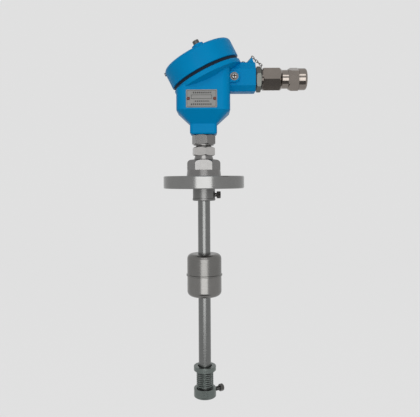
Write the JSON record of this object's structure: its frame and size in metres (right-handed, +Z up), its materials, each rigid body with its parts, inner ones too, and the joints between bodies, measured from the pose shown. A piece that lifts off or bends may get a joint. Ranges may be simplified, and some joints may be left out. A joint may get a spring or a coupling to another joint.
{
  "type": "magnetic float switch",
  "caption": "Flanged stem level switch: slanted-cap junction head with cable gland, sliding magnetic float, stop collars and a sprung buffer washer.",
  "frame": {"origin": "centre of the flange's lower face, on the stem's axis", "axes": "+Z up along the stem towards the junction head, +X along the cable entry, the cap leans towards -X, the nameplate faces -Y"},
  "size_m": [0.1867, 0.105, 0.4645],
  "materials": {
    "blue_paint": "satin",
    "stainless": "turned",
    "dark_steel": "turned",
    "nickel_plate": "plated",
    "zinc_plate": "plated",
    "black_steel": "blackened",
    "plate_aluminium": "satin",
    "copper_rivet": "plain",
    "brass": "plain",
    "black_rubber": "matt",
    "cream_moulding": "matt",
    "green_board": "satin",
    "wire_cover": "satin",
    "reed_glass": "clear",
    "magnet": "matt"
  },
  "bodies": {
    "mast": {"flange": "stainless", "flange_fitting": "stainless", "compression_ferrule": "stainless", "threaded_nipple": "stainless", "neck_lock_nut": "stainless", "union_nut": "stainless", "head_body": "blue_paint", "nameplate": "plate_aluminium", "nameplate_rivet_left": "copper_rivet", "nameplate_rivet_right": "copper_rivet", "earth_washer": "zinc_plate", "earth_screw": "zinc_plate", "terminal_block": "cream_moulding", "block_fixing_screws": "zinc_plate", "terminal_screws": "brass", "stem_tube": "dark_steel", "stem_end_plug": "dark_steel", "reed_board": "green_board", "reed_switches": "reed_glass", "lead_wires": "wire_cover", "gland_gasket": "black_rubber", "gland_lock_nut": "nickel_plate", "gland_body": "nickel_plate", "gland_seal": "black_rubber", "chain": "zinc_plate", "chain_ring": "zinc_plate", "chain_screw": "zinc_plate", "upper_stop_collar": "stainless", "lower_stop_collar": "dark_steel", "upper_set_bolt": "black_steel", "lower_set_bolt": "black_steel", "buffer_spring": "dark_steel"},
    "float": {"float_upper_shell": "stainless", "float_lower_shell": "stainless", "float_inner_tube": "stainless", "float_magnet": "magnet"},
    "buffer": {"buffer_washer": "dark_steel"},
    "cap_thread": {"cap_seal_ring": "black_rubber"},
    "cap": {"head_cap": "blue_paint", "cap_lock_bolt": "black_steel", "cap_side_screw": "zinc_plate"},
    "gland_thread": {"gland_follower_ring": "nickel_plate"},
    "gland_nut": {"gland_nut": "nickel_plate"}
  },
  "joints": [
    {"name": "float_slide", "type": "slide", "parent": "mast", "child": "float", "axis": [0, 0, 1], "range_m": [-0.0912, 0.0689]},
    {"name": "buffer_slide", "type": "slide", "parent": "mast", "child": "buffer", "axis": [0, 0, 1], "range_m": [-0.006, 0], "stiffness_N_per_m": 820, "springref_m": 0.0005, "deforming": ["buffer_spring"]},
    {"name": "cap_lift", "type": "slide", "parent": "mast", "child": "cap_thread", "axis": [-0.4478, 0, 0.8942], "range_m": [0, 0.01401]},
    {"name": "cap_turn", "type": "hinge", "parent": "cap_thread", "child": "cap", "pos_m": [0.0037, 0, 0.149], "axis": [-0.4478, 0, 0.8942], "range_deg": [0, 2520]},
    {"name": "gland_lift", "type": "slide", "parent": "mast", "child": "gland_thread", "axis": [1, 0, 0], "range_m": [0, 0.00751]},
    {"name": "gland_turn", "type": "hinge", "parent": "gland_thread", "child": "gland_nut", "pos_m": [0.12, 0, 0.1418], "axis": [1, 0, 0], "range_deg": [0, 1800]}
  ],
  "couplings": [
    {"joint": "cap_lift", "follows": "cap_turn", "m_per_rad": 0.00031831},
    {"joint": "gland_lift", "follows": "gland_turn", "m_per_rad": 0.00023873}
  ]
}
